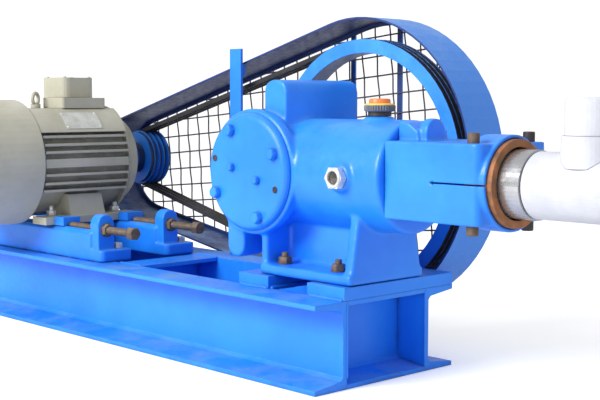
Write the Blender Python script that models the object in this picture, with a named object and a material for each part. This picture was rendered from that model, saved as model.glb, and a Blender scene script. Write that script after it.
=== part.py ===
# A reciprocating pump for liquid carbon dioxide on a welded channel base, driven by
# an electric motor through V-belts. X runs along the base towards the cold end,
# Y runs across it towards the flywheel and Z is up. The origin is under the middle
# of the base, at floor level, and every size is in metres.

from math import asin, atan2, cos, pi, radians, sin, sqrt, tau

import bmesh
import bpy
from mathutils import Matrix, Vector

# Gap kept between pieces that touch.
GAP = 0.0003

# Base of rolled channels.
BASE_LENGTH = 1.240
BASE_WIDTH = 0.350
CHANNEL_HEIGHT = 0.150
FLANGE_WIDTH = 0.075
WEB_THICKNESS = 0.009
FLANGE_TIP = 0.008
FLANGE_ROOT = 0.015
ROOT_FILLET = 0.006
PAD_THICKNESS = 0.022

# Crank axis: runs along Y. The pump's own axis runs along X at the same height.
CRANK_X = 0.372
CRANK_Z = 0.356
COVER_FACE_Y = -0.110
COVER_THICKNESS = 0.012
CRANKCASE_END_Y = 0.134
PEDESTAL_X = (0.390, BASE_LENGTH / 2)
FILLER_X = 0.5985
FILLER_SEAT_Z = CRANK_Z + 0.1015
GLASS_X = 0.600
GLASS_SEAT_Y = -0.1035

# Electric motor, its shaft along Y, on two cast slide rails.
MOTOR_X = -0.370
SHAFT_HEIGHT = 0.132
RAIL_HEIGHT = 0.0647
RAIL_WIDTH = 0.050
RAIL_CHAMFER = 0.008
RAIL_FOOT_WIDTH = 0.080
NEAR_RAIL_Y = -0.110
FAR_RAIL_Y = 0.057
RAIL_TOP = CHANNEL_HEIGHT + GAP + RAIL_HEIGHT
MOTOR_Z = RAIL_TOP + GAP + SHAFT_HEIGHT
LUG_LOW_X = -0.100
LUG_HIGH_X = -0.070
LUG_TOP = 0.248
LUG_RADIUS = 0.020
TENSION_BOLT_Z = 0.2155
SLOT_HALF = 0.0095
SLOT_FLOOR = 0.2045
PUSH_BLOCK_X = (-0.2346, -0.200)
FRAME_LOW_Y = -0.152
FRAME_HIGH_Y = 0.072
FIN_RADIUS = 0.135
SHOULDER_RADIUS = 0.137
SHOULDER_LOW = 0.067
SEAT_HEIGHT = 0.119
EYE_BOLT_Y = -0.092
SHIELD_END_Y = 0.148
SHAFT_BORE = 0.0193

# Drive.
WHEEL_RADIUS = 0.249
WHEEL_BORE = 0.222
FIRST_ARM = 18
PULLEY_RADIUS = 0.0645
CRANKSHAFT_RADIUS = 0.022
SHAFT_END_Y = 0.252
DRIVE_LOW_Y = 0.193
DRIVE_HIGH_Y = 0.237
GROOVE_DEPTH = 0.010
GROOVE_HALF_TOP = 0.0058
GROOVE_HALF_FLOOR = 0.0043
BELT_COUNT = 3
BELT_PITCH = 0.0135
BELT_WIDTH = 0.0090
BELT_THICKNESS = 0.0085
BELT_CLEARANCE = 0.0012

# Guard: a band bent round the drive, open towards the pump, with mesh behind.
GUARD_WHEEL_RADIUS = 0.2835
GUARD_MOTOR_RADIUS = 0.118
GUARD_WHEEL_CENTRE = (CRANK_X + 0.0005, 0.3635)
GUARD_MOTOR_CENTRE = (-0.390, 0.328)
GUARD_NEAR_Y = BASE_WIDTH / 2 + GAP
GUARD_FAR_Y = 0.277
GUARD_SHEET = 0.004
GUARD_LIP = 0.012
MESH_PITCH = 0.042
MESH_WIRE = 0.0036
BACK_BARS_X = (0.263, 0.392)
STAY_X = (0.010, 0.046)

# Pump end, from the crosshead cylinder outwards.
CROSSHEAD_RADIUS = 0.0965
CROSSHEAD_END_X = 0.683
CLAMP_END_X = 0.880
CLAMP_MOUTH_X = 0.884
CLAMP_MOUTH_RADIUS = 0.0765
CLAMP_HALF_WIDTH = 0.0800
CLAMP_HALF_HEIGHT = 0.0635
CLAMP_FAR_WIDTH = 0.0840
CLAMP_EAR_X = (0.722, 0.740)
CLAMP_EAR_Y = -0.017
SLIT_START_X = 0.784
RING_START_X = 0.840
RING_END_X = 0.893
RING_OUTER_RADIUS = 0.0700
RING_INNER_RADIUS = 0.0575
SPIGOT_RADIUS = 0.0545
COLD_RADIUS = 0.0522
COLD_START_X = 0.9305
COLD_END_X = 1.115
VALVE_X = 1.024
VALVE_SEAT_Z = CRANK_Z + 0.0775

COLOURS = {
    "blue_paint": ((0.02, 0.22, 0.80, 1.0), 0.0, 0.35),
    "dark_blue_paint": ((0.02, 0.12, 0.50, 1.0), 0.0, 0.40),
    "grey_paint": ((0.36, 0.36, 0.31, 1.0), 0.0, 0.45),
    "rusty_steel": ((0.20, 0.11, 0.06, 1.0), 0.6, 0.65),
    "bronze": ((0.45, 0.20, 0.08, 1.0), 0.8, 0.45),
    "bright_steel": ((0.70, 0.70, 0.72, 1.0), 1.0, 0.25),
    "wire": ((0.12, 0.11, 0.14, 1.0), 0.5, 0.50),
    "rubber": ((0.03, 0.03, 0.03, 1.0), 0.0, 0.75),
    "white_coat": ((0.85, 0.86, 0.90, 1.0), 0.0, 0.50),
    "orange_plastic": ((0.75, 0.22, 0.08, 1.0), 0.0, 0.45),
}


def material(name):
    found = bpy.data.materials.get(name)
    if found:
        return found
    colour, metallic, roughness = COLOURS[name]
    made = bpy.data.materials.new(name)
    made.use_nodes = True
    shader = made.node_tree.nodes["Principled BSDF"]
    shader.inputs["Base Color"].default_value = colour
    shader.inputs["Metallic"].default_value = metallic
    shader.inputs["Roughness"].default_value = roughness
    return made


def in_space(axis, along, across, up):
    """A point given along an axis and in the plane across it."""
    if axis == "X":
        return Vector((along, across, up))
    if axis == "Y":
        return Vector((across, along, up))
    return Vector((across, up, along))


def object_from(name, mesh_data, colour):
    mesh = bpy.data.meshes.new(name)
    bmesh.ops.recalc_face_normals(mesh_data, faces=mesh_data.faces)
    mesh_data.to_mesh(mesh)
    mesh_data.free()
    mesh.materials.append(material(colour))
    made = bpy.data.objects.new(name, mesh)
    bpy.context.scene.collection.objects.link(made)
    return made


def extruded(name, axis, outline, low, high, colour="blue_paint"):
    """A prism: the outline is (across, up) points in the plane across the axis."""
    data = bmesh.new()
    near = [data.verts.new(in_space(axis, low, a, u)) for a, u in outline]
    far = [data.verts.new(in_space(axis, high, a, u)) for a, u in outline]
    data.faces.new(near)
    data.faces.new(list(reversed(far)))
    count = len(outline)
    for i in range(count):
        j = (i + 1) % count
        data.faces.new((near[i], far[i], far[j], near[j]))
    return object_from(name, data, colour)


def box(name, x, y, z, colour="blue_paint"):
    outline = [(x[0], z[0]), (x[1], z[0]), (x[1], z[1]), (x[0], z[1])]
    return extruded(name, "Y", outline, y[0], y[1], colour)


def rounded_outline(across, up, radius, steps=4):
    """A rectangle with round corners, as (across, up) points."""
    points = []
    corners = (
        (across[1] - radius, up[1] - radius, 0.0),
        (across[0] + radius, up[1] - radius, 0.5 * pi),
        (across[0] + radius, up[0] + radius, pi),
        (across[1] - radius, up[0] + radius, 1.5 * pi),
    )
    for centre_a, centre_u, start in corners:
        for i in range(steps + 1):
            angle = start + 0.5 * pi * i / steps
            points.append((centre_a + radius * cos(angle), centre_u + radius * sin(angle)))
    return points


def turned(name, axis, centre, profile, colour="blue_paint", steps=48, closed=False):
    """A turned piece: the profile is (along, radius) points, from one end of the axis
    to the other, or a closed loop for a ring. The centre is (across, up)."""
    data = bmesh.new()
    rings = []
    for along, radius in profile:
        if radius == 0:
            rings.append([data.verts.new(in_space(axis, along, *centre))])
            continue
        ring = []
        for i in range(steps):
            angle = tau * i / steps
            across = centre[0] + radius * cos(angle)
            up = centre[1] + radius * sin(angle)
            ring.append(data.verts.new(in_space(axis, along, across, up)))
        rings.append(ring)
    pairs = list(zip(rings, rings[1:]))
    if closed:
        pairs.append((rings[-1], rings[0]))
    for one, two in pairs:
        for i in range(steps):
            j = (i + 1) % steps
            corners = [one[i % len(one)], one[j % len(one)], two[j % len(two)], two[i % len(two)]]
            data.faces.new(list(dict.fromkeys(corners)))
    return object_from(name, data, colour)


def rod(name, axis, centre, along, radius, colour="blue_paint", steps=32):
    profile = [(along[0], 0), (along[0], radius), (along[1], radius), (along[1], 0)]
    return turned(name, axis, centre, profile, colour, steps)


def boolean(body, operation, tool):
    """Joins the tool to the body, cuts it out or keeps what both share, and removes the tool."""
    modifier = body.modifiers.new(operation.lower(), "BOOLEAN")
    modifier.operation = operation
    modifier.solver = "EXACT"
    modifier.object = tool
    graph = bpy.context.evaluated_depsgraph_get()
    result = bpy.data.meshes.new_from_object(body.evaluated_get(graph))
    body.modifiers.clear()
    old = body.data
    body.data = result
    bpy.data.meshes.remove(old)
    bpy.data.objects.remove(tool)


def join(body, *tools):
    for tool in tools:
        boolean(body, "UNION", tool)


def cut(body, *tools):
    for tool in tools:
        boolean(body, "DIFFERENCE", tool)


def smooth(body, angle=35):
    body.data.shade_smooth()
    body.data.set_sharp_from_angle(angle=radians(angle))
    return body


def band_path(large, large_radius, small, small_radius, large_steps=40, small_steps=16):
    """The closed line of a band or belt stretched round two circles, as (across, up)
    points. Paths with the same steps and the same difference of radii are parallel."""
    dx = large[0] - small[0]
    dz = large[1] - small[1]
    slope = atan2(dz, dx)
    lean = asin((large_radius - small_radius) / sqrt(dx * dx + dz * dz))
    top = slope + lean + pi / 2
    bottom = slope - lean - pi / 2
    points = []
    for i in range(large_steps + 1):
        angle = bottom + (top - bottom) * i / large_steps
        points.append((large[0] + large_radius * cos(angle), large[1] + large_radius * sin(angle)))
    for i in range(small_steps + 1):
        angle = top + (bottom + tau - top) * i / small_steps
        points.append((small[0] + small_radius * cos(angle), small[1] + small_radius * sin(angle)))
    return points


def swept_band(name, paths, colour):
    """A closed band: each entry of paths is (y, path), one corner of the band's section,
    and the corners go round the section in order."""
    data = bmesh.new()
    loops = []
    for y, path in paths:
        loops.append([data.verts.new((x, y, z)) for x, z in path])
    for one, two in zip(loops, loops[1:] + loops[:1]):
        for i in range(len(one)):
            j = (i + 1) % len(one)
            data.faces.new((one[i], one[j], two[j], two[i]))
    return object_from(name, data, colour)


def channel_outline(back, side):
    """A rolled channel's section: the back of its web at 'back', its flanges pointing
    to the side given as 1 or -1."""
    tip = back + side * FLANGE_WIDTH
    root = back + side * WEB_THICKNESS
    fillet = back + side * (WEB_THICKNESS + ROOT_FILLET)
    return [
        (back, 0),
        (tip, 0),
        (tip, FLANGE_TIP),
        (fillet, FLANGE_ROOT),
        (root, FLANGE_ROOT + ROOT_FILLET),
        (root, CHANNEL_HEIGHT - FLANGE_ROOT - ROOT_FILLET),
        (fillet, CHANNEL_HEIGHT - FLANGE_ROOT),
        (tip, CHANNEL_HEIGHT - FLANGE_TIP),
        (tip, CHANNEL_HEIGHT),
        (back, CHANNEL_HEIGHT),
    ]


def make_base():
    half_length = BASE_LENGTH / 2
    back = BASE_WIDTH / 2 - FLANGE_WIDTH
    for name, side in (("near_channel", -1), ("far_channel", 1)):
        outline = channel_outline(side * back, side)
        extruded(name, "X", outline, -half_length, half_length)
    crossings = (
        ("motor_end_channel", -half_length + FLANGE_WIDTH, -1),
        ("middle_channel", -FLANGE_WIDTH / 2, 1),
        ("pump_end_channel", half_length - FLANGE_WIDTH, 1),
    )
    for name, cross_back, side in crossings:
        outline = channel_outline(cross_back, side)
        extruded(name, "Y", outline, -back + GAP, back - GAP)
    low = CHANNEL_HEIGHT + GAP
    for name, x in (("inner_pump_pad", (0.350, 0.430)), ("outer_pump_pad", (0.530, half_length))):
        box(name, x, (-0.107, BASE_WIDTH / 2), (low, low + PAD_THICKNESS))


def make_rail(prefix, y):
    """A cast slide rail, slotted along its top, with a foot and an arched lug at its end,
    and the push block and long bolt that tighten the belts."""
    low = CHANNEL_HEIGHT + GAP
    near = y - RAIL_WIDTH / 2
    far = y + RAIL_WIDTH / 2
    section = [
        (near, low),
        (far, low),
        (far, RAIL_TOP - RAIL_CHAMFER),
        (far - RAIL_CHAMFER, RAIL_TOP),
        (near + RAIL_CHAMFER, RAIL_TOP),
        (near, RAIL_TOP - RAIL_CHAMFER),
    ]
    body = extruded(prefix + "_slide_rail", "X", section, -0.585, LUG_LOW_X + 0.008)
    for x in ((-0.618, -0.560), (LUG_LOW_X - 0.012, -0.052)):
        outline = rounded_outline(x, (near, near + RAIL_FOOT_WIDTH), 0.012)
        join(body, extruded("foot", "Z", outline, low, low + 0.024))
    arch = [(y - LUG_RADIUS, low + 0.010), (y + LUG_RADIUS, low + 0.010)]
    for i in range(13):
        angle = pi * i / 12
        arch.append((y + LUG_RADIUS * cos(angle), LUG_TOP - LUG_RADIUS + LUG_RADIUS * sin(angle)))
    join(body, extruded("lug", "X", arch, LUG_LOW_X, LUG_HIGH_X))
    slot = box("slot", (-0.555, LUG_LOW_X - 0.001), (y - SLOT_HALF, y + SLOT_HALF),
               (SLOT_FLOOR, RAIL_TOP + 0.01))
    hole = rod("hole", "X", (y, TENSION_BOLT_Z), (LUG_LOW_X - 0.02, LUG_HIGH_X + 0.02), 0.0085, steps=24)
    cut(body, slot, hole)
    smooth(body)

    block_top = RAIL_TOP + 0.0185
    block = box(prefix + "_push_block", PUSH_BLOCK_X, (near + 0.004, far - 0.004),
                (RAIL_TOP + GAP, block_top))
    tongue = box("tongue", PUSH_BLOCK_X, (y - SLOT_HALF + 0.001, y + SLOT_HALF - 0.001),
                 (SLOT_FLOOR + 0.001, block_top - 0.004))
    join(block, tongue)
    smooth(block)

    start = PUSH_BLOCK_X[1] + GAP
    profile = [(start, 0), (start, 0.008), (0.016, 0.008), (0.016, 0.013), (0.034, 0.013), (0.034, 0)]
    smooth(turned(prefix + "_tension_bolt", "X", (y, TENSION_BOLT_Z), profile, "rusty_steel", 24))


def make_motor():
    axis = (MOTOR_X, MOTOR_Z)
    ends = (FRAME_LOW_Y, FRAME_HIGH_Y)
    frame = rod("motor_frame", "Y", axis, ends, 0.116, "grey_paint", 56)
    for height in (-0.060, -0.0435, -0.025, 0.0245, 0.0405, 0.058):
        reach = sqrt(FIN_RADIUS ** 2 - height ** 2)
        fin = box("fin", (MOTOR_X - reach, MOTOR_X + reach), (FRAME_LOW_Y + 0.004, FRAME_HIGH_Y - 0.004),
                  (MOTOR_Z + height - 0.003, MOTOR_Z + height + 0.003))
        join(frame, fin)
    side_boss = box("boss", (MOTOR_X - 0.133, MOTOR_X + 0.133), (FRAME_LOW_Y + 0.004, FRAME_HIGH_Y - 0.004),
                    (MOTOR_Z - 0.0093, MOTOR_Z + 0.0102))
    join(frame, side_boss)
    join(frame, extruded("shoulder", "Y", shoulder_outline(), FRAME_LOW_Y, FRAME_HIGH_Y))
    foot_low = RAIL_TOP + GAP
    for side in (-1, 1):
        inner = MOTOR_X + side * 0.080
        outer = MOTOR_X + side * 0.135
        foot = box("foot", sorted((inner, outer)), (FRAME_LOW_Y, 0.092), (foot_low, foot_low + 0.016))
        web_outline = [
            (MOTOR_X + side * 0.040, foot_low + 0.004),
            (MOTOR_X + side * 0.128, foot_low + 0.004),
            (MOTOR_X + side * 0.108, MOTOR_Z - 0.070),
            (MOTOR_X + side * 0.040, MOTOR_Z - 0.070),
        ]
        web = extruded("web", "Y", web_outline, -0.080, 0.008)
        join(frame, foot, web)
    smooth(frame)

    low = FRAME_LOW_Y - GAP
    profile = [(-0.300, 0), (-0.300, 0.090), (-0.296, 0.114), (-0.284, 0.130), (-0.262, 0.137),
               (low, 0.138), (low, 0)]
    smooth(turned("motor_fan_cowl", "Y", axis, profile, "grey_paint", 56))

    low = FRAME_HIGH_Y + GAP
    profile = [(low, SHAFT_BORE), (low, 0.127), (0.080, 0.127), (0.092, 0.113), (0.105, 0.105),
               (0.118, 0.097), (0.136, 0.062), (SHIELD_END_Y, 0.048), (SHIELD_END_Y, SHAFT_BORE)]
    smooth(turned("motor_end_shield", "Y", axis, profile, "grey_paint", 56, closed=True))

    low = MOTOR_Z + SEAT_HEIGHT + GAP
    throat = rounded_outline((MOTOR_X - 0.060, MOTOR_X + 0.072), (-0.036, 0.049), 0.008)
    base = extruded("terminal_box_base", "Z", throat, low, low + 0.0235, "grey_paint")
    near_step = rounded_outline((MOTOR_X - 0.012, MOTOR_X + 0.072), (-0.068, 0.030), 0.008)
    join(base, extruded("near_step", "Z", near_step, low, low + 0.0235, "grey_paint"))
    smooth(base)
    lid = rounded_outline((MOTOR_X - 0.062, MOTOR_X + 0.032), (-0.040, 0.047), 0.018)
    smooth(extruded("terminal_box", "Z", lid, low + 0.0235 + GAP, low + 0.0695, "grey_paint"))

    make_eye_bolt()

    low = FRAME_HIGH_Y + 3 * GAP
    profile = [(low, 0), (low, 0.019), (SHAFT_END_Y, 0.019), (SHAFT_END_Y, 0)]
    smooth(turned("motor_shaft", "Y", axis, profile, "bright_steel", 32))


def shoulder_outline():
    """The smooth upper part of the motor frame: an arc above the fins, with a flat top
    that carries the terminal box."""
    start = asin(SHOULDER_LOW / SHOULDER_RADIUS)
    end = asin(SEAT_HEIGHT / SHOULDER_RADIUS)
    right = []
    for i in range(9):
        angle = start + (end - start) * i / 8
        right.append((SHOULDER_RADIUS * cos(angle), SHOULDER_RADIUS * sin(angle)))
    points = right + [(-x, z) for x, z in reversed(right)]
    return [(MOTOR_X + x, MOTOR_Z + z) for x, z in points]


def make_eye_bolt():
    centre_z = MOTOR_Z + SEAT_HEIGHT + 0.021
    ring_radius = 0.013
    wire = 0.0042
    data = bmesh.new()
    turn = Matrix.Translation((MOTOR_X, EYE_BOLT_Y, centre_z)) @ Matrix.Rotation(radians(-60), 4, "Z")
    rings = []
    for i in range(20):
        around = tau * i / 20
        ring = []
        for j in range(8):
            tube = tau * j / 8
            reach = ring_radius + wire * cos(tube)
            point = Vector((reach * cos(around), wire * sin(tube), reach * sin(around)))
            ring.append(data.verts.new(turn @ point))
        rings.append(ring)
    for i in range(20):
        one = rings[i]
        two = rings[(i + 1) % 20]
        for j in range(8):
            k = (j + 1) % 8
            data.faces.new((one[j], one[k], two[k], two[j]))
    eye = object_from("eye_bolt", data, "grey_paint")
    low = MOTOR_Z + SEAT_HEIGHT + GAP
    collar = rod("collar", "Z", (MOTOR_X, EYE_BOLT_Y), (low, centre_z - ring_radius + 0.002), 0.011, steps=20)
    join(eye, collar)
    smooth(eye)


def belt_planes():
    """The Y of each belt's middle plane."""
    middle = (DRIVE_LOW_Y + DRIVE_HIGH_Y) / 2
    return [middle + (i - (BELT_COUNT - 1) / 2) * BELT_PITCH for i in range(BELT_COUNT)]


def grooved_rim(outer_radius, bore_radius):
    """A closed profile for a rim with V-grooves, from the bore round the outside."""
    profile = [(DRIVE_LOW_Y, bore_radius), (DRIVE_LOW_Y, outer_radius)]
    for y in belt_planes():
        profile += [
            (y - GROOVE_HALF_TOP, outer_radius),
            (y - GROOVE_HALF_FLOOR, outer_radius - GROOVE_DEPTH),
            (y + GROOVE_HALF_FLOOR, outer_radius - GROOVE_DEPTH),
            (y + GROOVE_HALF_TOP, outer_radius),
        ]
    profile += [(DRIVE_HIGH_Y, outer_radius), (DRIVE_HIGH_Y, bore_radius)]
    return profile


def make_arm(angle):
    """A tapering oval arm of the flywheel, from its hub to its rim."""
    turn = Matrix.Translation((CRANK_X, (DRIVE_LOW_Y + DRIVE_HIGH_Y) / 2, CRANK_Z))
    turn @= Matrix.Rotation(-angle, 4, "Y")
    data = bmesh.new()
    rings = []
    for reach, half_up, half_deep in ((0.030, 0.019, 0.013), (WHEEL_BORE + 0.005, 0.013, 0.009)):
        ring = []
        for j in range(12):
            around = tau * j / 12
            point = Vector((reach, half_deep * cos(around), half_up * sin(around)))
            ring.append(data.verts.new(turn @ point))
        rings.append(ring)
    data.faces.new(rings[0])
    data.faces.new(list(reversed(rings[1])))
    for j in range(12):
        k = (j + 1) % 12
        data.faces.new((rings[0][j], rings[0][k], rings[1][k], rings[1][j]))
    return object_from("arm", data, "blue_paint")


def make_drive():
    motor_axis = (MOTOR_X, MOTOR_Z)
    crank_axis = (CRANK_X, CRANK_Z)

    pulley = turned("motor_pulley", "Y", motor_axis, grooved_rim(PULLEY_RADIUS, SHAFT_BORE),
                    "blue_paint", 48, closed=True)
    inside = DRIVE_LOW_Y + 0.004
    profile = [(0.166, SHAFT_BORE), (0.166, 0.036), (0.184, 0.036), (0.184, 0.0603), (inside, 0.0603),
               (inside, SHAFT_BORE)]
    join(pulley, turned("hub", "Y", motor_axis, profile, steps=48, closed=True))
    smooth(pulley)

    smooth(turned("flywheel", "Y", crank_axis, grooved_rim(WHEEL_RADIUS, WHEEL_BORE),
                  "blue_paint", 72, closed=True))
    arms = rod("flywheel_arms", "Y", crank_axis, (0.182, 0.246), 0.046, steps=40)
    join(arms, *[make_arm(radians(FIRST_ARM + 120 * i)) for i in range(3)])
    inside = rod("inside", "Y", crank_axis, (0.170, 0.260), WHEEL_BORE - 2 * GAP, steps=72)
    boolean(arms, "INTERSECT", inside)
    cut(arms, rod("bore", "Y", crank_axis, (0.170, 0.260), CRANKSHAFT_RADIUS + GAP, steps=40))
    smooth(arms)

    low = CRANKCASE_END_Y + 2 * GAP
    profile = [(low, 0), (low, CRANKSHAFT_RADIUS), (SHAFT_END_Y, CRANKSHAFT_RADIUS), (SHAFT_END_Y, 0)]
    smooth(turned("crankshaft", "Y", crank_axis, profile, "bright_steel", 40))

    sink = GROOVE_DEPTH - BELT_CLEARANCE
    rise = BELT_THICKNESS - sink
    half = BELT_WIDTH / 2
    inner = band_path(crank_axis, WHEEL_RADIUS - sink, motor_axis, PULLEY_RADIUS - sink, 44, 18)
    outer = band_path(crank_axis, WHEEL_RADIUS + rise, motor_axis, PULLEY_RADIUS + rise, 44, 18)
    for i, y in enumerate(belt_planes()):
        inner_half = half - BELT_CLEARANCE
        paths = [(y - inner_half, inner), (y - half, outer), (y + half, outer), (y + inner_half, inner)]
        smooth(swept_band("belt_" + str(i + 1), paths, "rubber"))


def guard_path(inset):
    return band_path(GUARD_WHEEL_CENTRE, GUARD_WHEEL_RADIUS - inset,
                     GUARD_MOTOR_CENTRE, GUARD_MOTOR_RADIUS - inset)


def guard_span(inset, x):
    """The lowest and highest Z of the guard's outline at this X."""
    path = guard_path(inset)
    found = []
    for (x1, z1), (x2, z2) in zip(path, path[1:] + path[:1]):
        if (x1 - x) * (x2 - x) < 0:
            found.append(z1 + (z2 - z1) * (x - x1) / (x2 - x1))
    return min(found), max(found)


def guard_reach(inset, z):
    """The lowest and highest X of the guard's outline at this Z."""
    path = guard_path(inset)
    found = []
    for (x1, z1), (x2, z2) in zip(path, path[1:] + path[:1]):
        if (z1 - z) * (z2 - z) < 0:
            found.append(x1 + (x2 - x1) * (z - z1) / (z2 - z1))
    return min(found), max(found)


def make_guard():
    outer = guard_path(0.0)
    inner = guard_path(GUARD_SHEET)
    lip = guard_path(GUARD_LIP)
    paths = [
        (GUARD_NEAR_Y, outer),
        (GUARD_NEAR_Y, inner),
        (GUARD_FAR_Y - GUARD_SHEET, inner),
        (GUARD_FAR_Y - GUARD_SHEET, lip),
        (GUARD_FAR_Y, lip),
        (GUARD_FAR_Y, outer),
    ]
    smooth(swept_band("guard_band", paths, "dark_blue_paint"))

    half = MESH_WIRE / 2
    y = GUARD_FAR_Y + GAP + MESH_WIRE / 2
    inset = GUARD_LIP / 3
    left = GUARD_MOTOR_CENTRE[0] - GUARD_MOTOR_RADIUS + GUARD_LIP
    right = GUARD_WHEEL_CENTRE[0] + GUARD_WHEEL_RADIUS - GUARD_LIP
    uprights = bmesh.new()
    count = int((right - left) / MESH_PITCH) + 1
    for i in range(count):
        x = left + 0.010 + i * MESH_PITCH
        low, high = guard_span(inset, x)
        add_bar(uprights, (x - half, x + half), (y - half, y + half), (low, high))
    mesh = object_from("guard_mesh", uprights, "wire")
    levels = bmesh.new()
    low = GUARD_WHEEL_CENTRE[1] - GUARD_WHEEL_RADIUS + GUARD_LIP
    high = GUARD_WHEEL_CENTRE[1] + GUARD_WHEEL_RADIUS - GUARD_LIP
    count = int((high - low) / MESH_PITCH) + 1
    for i in range(count):
        z = low + 0.012 + i * MESH_PITCH
        start, end = guard_reach(inset, z)
        add_bar(levels, (start, end), (y - 0.8 * half, y + 0.8 * half), (z - half, z + half))
    join(mesh, object_from("levels", levels, "wire"))

    for i, x in enumerate(BACK_BARS_X):
        low, high = guard_span(GUARD_SHEET, x)
        back = y + half + GAP
        box("guard_back_bar_" + str(i + 1), (x - 0.006, x + 0.006), (back, back + 0.004), (low, high),
            "dark_blue_paint")

    stay = box("guard_stay", STAY_X, (0.160, 0.166), (CHANNEL_HEIGHT + GAP, 0.595))
    top = guard_span(0.0, sum(STAY_X) / 2)[1]
    tab_x = (STAY_X[0] + 0.002, STAY_X[1] - 0.002)
    join(stay, box("tab", tab_x, (0.1655, GUARD_NEAR_Y - GAP), (top - 0.026, top - 0.002)))


def add_bar(data, x, y, z):
    corners = [data.verts.new((a, b, c)) for a in x for b in y for c in z]
    for face in ((0, 1, 3, 2), (4, 6, 7, 5), (0, 4, 5, 1), (2, 3, 7, 6), (0, 2, 6, 4), (1, 5, 7, 3)):
        data.faces.new([corners[i] for i in face])


def make_crankcase():
    """The pump's one large casting: crankcase, crosshead cylinder, top box and pedestal."""
    axis = (CRANK_X, CRANK_Z)
    foot_low = CHANNEL_HEIGHT + PAD_THICKNESS + 2 * GAP
    foot_high = foot_low + 0.018
    in_foot = foot_high - 0.005
    flange_y = COVER_FACE_Y + COVER_THICKNESS + GAP
    profile = [(flange_y, 0), (flange_y, 0.114), (flange_y + 0.020, 0.114), (flange_y + 0.032, 0.104),
               (CRANKCASE_END_Y, 0.104), (CRANKCASE_END_Y, 0)]
    body = turned("crankcase", "Y", axis, profile, steps=64)
    profile = [(CRANK_X, 0), (CRANK_X, CROSSHEAD_RADIUS), (CROSSHEAD_END_X - 0.003, CROSSHEAD_RADIUS),
               (CROSSHEAD_END_X, CROSSHEAD_RADIUS - 0.003), (CROSSHEAD_END_X, 0)]
    join(body, turned("crosshead", "X", (0, CRANK_Z), profile, steps=64))

    top_outline = rounded_outline((CRANK_X + 0.002, CRANK_X + 0.060), (CRANK_Z, CRANK_Z + 0.166), 0.020)
    join(body, extruded("top_box", "Y", top_outline, -0.066, 0.121))

    left_x, right_x = PEDESTAL_X
    join(body, box("foot", (left_x + 0.002, right_x), (-0.094, 0.094), (foot_low, foot_high)))
    join(body, box("web", (left_x + 0.004, right_x - 0.006), (-0.030, 0.030), (in_foot, CRANK_Z)))
    join(body, box("left_wall", (left_x, left_x + 0.0165), (-0.089, 0.089), (in_foot, CRANK_Z)))
    taper = [(-0.089, in_foot), (0.089, in_foot), (0.072, 0.289), (0.072, CRANK_Z), (-0.072, CRANK_Z),
             (-0.072, 0.289)]
    join(body, extruded("right_wall", "X", taper, right_x - 0.021, right_x - 0.0005))
    sump_outline = rounded_outline((0.302, 0.348), (0.196, CRANK_Z - 0.05), 0.020)
    join(body, extruded("sump", "Y", sump_outline, -0.094, -0.040))
    join(body, rod("filler_neck", "Z", (FILLER_X, 0), (CRANK_Z + 0.08, FILLER_SEAT_Z), 0.026, steps=32))
    join(body, rod("glass_boss", "Y", (GLASS_X, CRANK_Z), (GLASS_SEAT_Y, -0.06), 0.0245, steps=32))
    smooth(body)

    profile = [(COVER_FACE_Y, 0), (COVER_FACE_Y, 0.096), (COVER_FACE_Y + 0.0015, 0.101),
               (COVER_FACE_Y + 0.005, 0.105), (COVER_FACE_Y + 0.010, 0.107),
               (COVER_FACE_Y + COVER_THICKNESS, 0.107), (COVER_FACE_Y + COVER_THICKNESS, 0)]
    smooth(turned("crankcase_cover", "Y", axis, profile, steps=64))

    low = CRANKCASE_END_Y + GAP
    bore = CRANKSHAFT_RADIUS + 0.0005
    profile = [(low, bore), (low, 0.070), (low + 0.008, 0.070), (low + 0.016, 0.056), (low + 0.016, bore)]
    smooth(turned("bearing_cover", "Y", axis, profile, steps=48, closed=True))


def make_fittings():
    low = FILLER_SEAT_Z + GAP
    profile = [(low, 0), (low, 0.0205), (low + 0.0075, 0.0205), (low + 0.0090, 0.0260),
               (low + 0.0180, 0.0275), (low + 0.0215, 0.0250), (low + 0.0230, 0.0185),
               (low + 0.0305, 0.0170), (low + 0.0305, 0)]
    smooth(turned("oil_filler_cap", "Z", (FILLER_X, 0), profile, "orange_plastic", 32))

    nut = rod("sight_glass", "Y", (GLASS_X, CRANK_Z), (GLASS_SEAT_Y - 0.0125, GLASS_SEAT_Y - GAP), 0.0202,
              "bright_steel", 6)
    eye = rod("eye", "Y", (GLASS_X, CRANK_Z), (GLASS_SEAT_Y - 0.030, GLASS_SEAT_Y - 0.0095), 0.0115, steps=24)
    cut(nut, eye)
    smooth(nut)


def cheek_outline(low_x, high_x, radius):
    """The clamp from above: square at the crosshead, with one round corner at the near side."""
    near = -CLAMP_HALF_WIDTH
    points = [(CLAMP_END_X, CLAMP_FAR_WIDTH), (low_x, CLAMP_FAR_WIDTH), (low_x, near)]
    for i in range(6):
        angle = 0.5 * pi * (i / 5 - 1)
        points.append((high_x - radius + radius * cos(angle), near + radius + radius * sin(angle)))
    points.append((high_x, 0))
    return points + [(CLAMP_END_X, 0)]


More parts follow.
